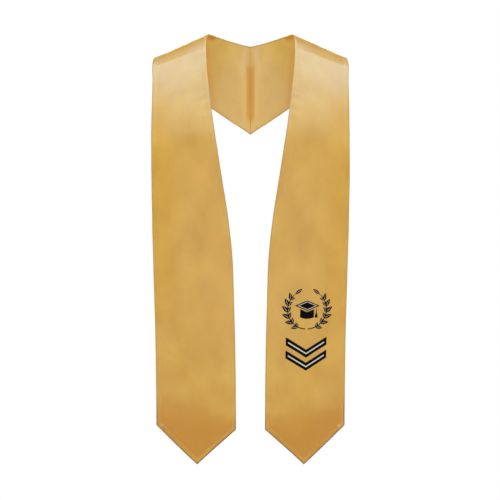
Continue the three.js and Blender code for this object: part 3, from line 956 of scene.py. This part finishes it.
# The uneven gold all over one satin, before the painted shades and tints of its parts.
def plain_color(tree, row, uv):
    values = {
        "Factor": STREAKS,
        "A": grain(tree, uv, "clouds"),
        "B": grain(tree, uv, "streaks"),
    }
    uneven = add(tree, "ShaderNodeMix", values).outputs["Result"]
    return graded(tree, uneven, tuple(zip(SATIN_STOPS, (row["deep"], row["pale"]))))


# The lining's painted shade where the neck edge turns over the shoulder and in the corner beside
# it.
def lining_painted_shade(tree, color, aside, along, edge, seam):
    behind = ramped(tree, along, *SHOULDER_END)
    shoulder = ramped(tree, plus(tree, seam, aside, SHOULDER_SKEW), *SHOULDER_SHADE)
    color = tinted(tree, color, product(tree, shoulder, behind), SHOULDER_PAINTED_SHADE)
    near = ramped(tree, edge, *CORNER_SHADE)
    high = ramped(tree, along, *CORNER_START)
    return tinted(tree, color, product(tree, near, high, behind), CORNER_PAINTED_SHADE)


# The colour of one satin, with a painted shade, painted highlight or tint over each part of the
# cloth.
def satin_color(tree, row, uv):
    aside, along, _ = split(tree, uv)
    edge, seam, _ = split(tree, uv_places(tree, "borders"))
    solid = add(tree, "ShaderNodeTexCoord", {}).outputs["Object"]
    patchy = {"Vector": solid, "Scale": END_PATCHES}
    patches = add(tree, "ShaderNodeTexNoise", patchy).outputs["Fac"]
    lining = row["name"] == "satin_lining"
    color = plain_color(tree, row, uv)

    # Painted shade towards the pointed ends; the patches and the skew make its start uneven.
    shifted = plus(tree, plus(tree, along, patches, END_SHIFT), aside, END_SKEW)
    end = ramped(tree, shifted, *END_PAINTED_SHADE_SPAN)
    color = tinted(tree, color, end, row["end"])

    if lining:
        # Painted highlight on the lifted lips of the groove beside the seam.
        color = tinted(tree, color, ramped(tree, seam, *SPINE_HIGHLIGHT_SPAN), SPINE_PAINTED_HIGHLIGHT)
    # Darker strip along the centre seam: the pressed seam allowance showing through, with painted
    # shade of its groove.
    beside = ramped(tree, seam, *SEAM_SHADE)
    top = ramped(tree, aside, *SEAM_SHADE_TOP)
    foot = ramped(tree, aside, *SEAM_SHADE_FOOT)
    color = tinted(tree, color, product(tree, beside, top, foot), row["seam"])
    if lining:
        color = lining_painted_shade(tree, color, aside, along, edge, seam)

    hem = product(tree, ramped(tree, edge, *HEM_SHADE), end, ramped(tree, patches, *HEM_PATCHES))
    color = tinted(tree, color, hem, HEM_TINT)
    # Painted shade along the rounded edges, darker along the pointed ends.
    rim = ramped(tree, edge, *EDGE_PAINTED_SHADE_SPAN)
    color = tinted(tree, color, rim, EDGE_PAINTED_SHADE)
    return tinted(tree, color, product(tree, rim, end), END_EDGE_PAINTED_SHADE)


def satin(row):
    material, tree, shader = new_material(row["name"])
    uv = uv_places(tree, "cloth")
    gloss = {
        "Value": grain(tree, uv, "gloss"),
        "To Min": row["roughness"] - GLOSS_SPREAD,
        "To Max": row["roughness"] + GLOSS_SPREAD,
    }
    threads = relief(tree, grain(tree, uv, "threads"), "threads")
    mottle = relief(tree, grain(tree, uv, "mottle"), "mottle", threads)
    tangent = add(tree, "ShaderNodeTangent", {}, direction_type="UV_MAP", uv_map="cloth")
    look = {
        "Base Color": satin_color(tree, row, uv),
        "Roughness": add(tree, "ShaderNodeMapRange", gloss).outputs["Result"],
        "Normal": mottle,
        "Tangent": tangent.outputs["Tangent"],
    }
    fill(tree, shader, {**look, **SATIN_SHEEN})
    return material


def ink(row):
    material, tree, shader = new_material(row["name"])
    fine = {"Vector": uv_places(tree, "cloth"), **INK_GRAIN}
    grains = add(tree, "ShaderNodeTexNoise", fine).outputs["Fac"]
    light = [min(1, INK_LIFT * part) for part in row["color"]]
    look = {
        "Base Color": tinted(tree, row["color"], grains, light),
        "Roughness": row["roughness"],
        "Normal": relief(tree, grains, "print"),
        "Specular IOR Level": INK_SPECULAR,
    }
    fill(tree, shader, look)
    return material


SATIN = {row["name"]: satin(row) for row in table(SATIN_COLUMNS, SATINS)}
INKS = {row["name"]: ink(row) for row in table(INK_COLUMNS, INK_ROWS)}


# One printed piece of the emblem, in place of the solids that are named.
def printed(name, sheets, slot, *nodes):
    piece = make_piece(name, sheets)
    piece.data.materials.append(INKS[slot])
    if nodes:
        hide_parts(*nodes)
    return piece


# The black sheet of one part of the cap.
def cap_sheet(name, shape):
    return [black(*shape(*cells(name)))]


def make_emblem():
    prints = []
    for side, flip in (("left", 1), ("right", -1)):
        sheets, lines = branch(flip)
        prints.append(printed(f"{side}_branch_print", sheets, "print", f"emblem_{side}_branch"))
        prints.append(printed(f"{side}_branch_lines", lines, "print_inline"))
    lines = [grey(*board_line(corner)) for corner in range(4)]
    prints.append(printed("board_print", cap_sheet("board", board), "print", "emblem_board"))
    prints.append(printed("board_lines", lines, "print_inline"))
    prints.append(printed("cap_print", cap_sheet("cap", cap), "print", "emblem_cap"))
    prints.append(printed("tassel_print", cap_sheet("tassel", tassel), "print", "emblem_tassel"))
    line_half = CHEVRON_HALF - INLINE_INSET
    for place, top in (("upper", CHEVRON_TOP), ("lower", CHEVRON_TOP - CHEVRON_PITCH)):
        whole = [black(*stripe(*cells("chevron"), top, CHEVRON_HALF, CHEVRON_BAND))]
        line = [grey(*stripe(*cells("chevron_line"), top, line_half, INLINE_BAND))]
        prints.append(printed(f"{place}_chevron_print", whole, "print", f"emblem_chevron_{place}"))
        inline = f"emblem_inline_{place}"
        prints.append(printed(f"{place}_chevron_line", line, "print_inline", inline))
    return prints


# The face and the lining of one half.
def make_cloth(side, prints):
    sides, uv, borders = cloth_half(SIDE_SEEDS[side])
    for layer in ("face", "lining"):
        sheets = [(*sides[layer], uv)]
        piece = make_piece(f"{side}_{layer}_cloth", sheets, side == "right", borders[layer])
        piece.data.materials.append(SATIN[f"satin_{layer}"])
        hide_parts(f"{side}_{layer}")


make_cloth("left", make_emblem())
make_cloth("right", [])


# A plain floor under everything, which only the camera sees.
def make_floor():
    mesh = bpy.data.meshes.new("floor")
    turns = [2 * math.pi * k / FLOOR_SIDES for k in range(FLOOR_SIDES)]
    rim = [(FLOOR_HALF * math.cos(a), FLOOR_HALF * math.sin(a), FLOOR_HEIGHT) for a in turns]
    mesh.from_pydata(rim, [], [range(FLOOR_SIDES)])
    floor = bpy.data.objects.new("floor", mesh)
    bpy.context.scene.collection.objects.link(floor)
    material, tree, shader = new_material("floor")
    look = {
        "Base Color": (*FLOOR_COLOR, 1),
        "Roughness": FLOOR_ROUGHNESS,
        "Emission Color": (*FLOOR_COLOR, 1),
        "Emission Strength": FLOOR_GLOW,
    }
    fill(tree, shader, look)
    mesh.materials.append(material)
    floor.visible_glossy = False
    floor.visible_diffuse = False


def make_lamp(row):
    light = bpy.data.lights.new(row["name"], "AREA")
    light.shape = "RECTANGLE"
    light.size = row["width"]
    light.size_y = row["depth"]
    light.energy = row["watts"]
    light.color = row["color"]
    lamp = bpy.data.objects.new(row["name"], light)
    lamp.location = row["place"]
    aim = Vector(row["aim"]) - Vector(row["place"])
    lamp.rotation_euler = aim.to_track_quat("-Z", "Y").to_euler()
    lamp.visible_camera = False
    lamp.visible_diffuse = row["diffuse"]
    lamp.visible_glossy = row["glossy"]
    bpy.context.scene.collection.objects.link(lamp)


# The room: its light by height, another one for gloss, and plain white behind the object.
def make_world():
    world = bpy.data.worlds.new("studio")
    bpy.context.scene.world = world
    world.use_nodes = True
    tree = world.node_tree
    tree.nodes.clear()
    _, _, up = split(tree, add(tree, "ShaderNodeTexCoord", {}).outputs["Generated"])
    span = {"Value": up, "From Min": -1, "From Max": 1}
    height = add(tree, "ShaderNodeMapRange", span).outputs["Result"]
    path = add(tree, "ShaderNodeLightPath", {}).outputs
    color = graded(tree, height, ROOM_LIGHT)
    color = tinted(tree, color, path["Is Glossy Ray"], graded(tree, height, ROOM_GLOSS))
    color = tinted(tree, color, path["Is Camera Ray"], BACKDROP_WHITE)
    light = add(tree, "ShaderNodeBackground", {"Color": color})
    add(tree, "ShaderNodeOutputWorld", {"Surface": light.outputs["Background"]})


# The camera looks level, straight at the front.
def make_camera():
    data = bpy.data.cameras.new("camera")
    data.lens = CAMERA_LENS
    data.sensor_width = SENSOR_WIDTH
    data.clip_end = CAMERA_FAR
    camera = bpy.data.objects.new("camera", data)
    camera.location = CAMERA_PLACE
    camera.rotation_euler = (math.pi / 2, 0, 0)
    bpy.context.scene.collection.objects.link(camera)
    bpy.context.scene.camera = camera


make_floor()
make_world()
for lamp in table(LAMP_COLUMNS, LAMPS):
    make_lamp(lamp)
make_camera()
bpy.context.scene.view_settings.view_transform = "Standard"
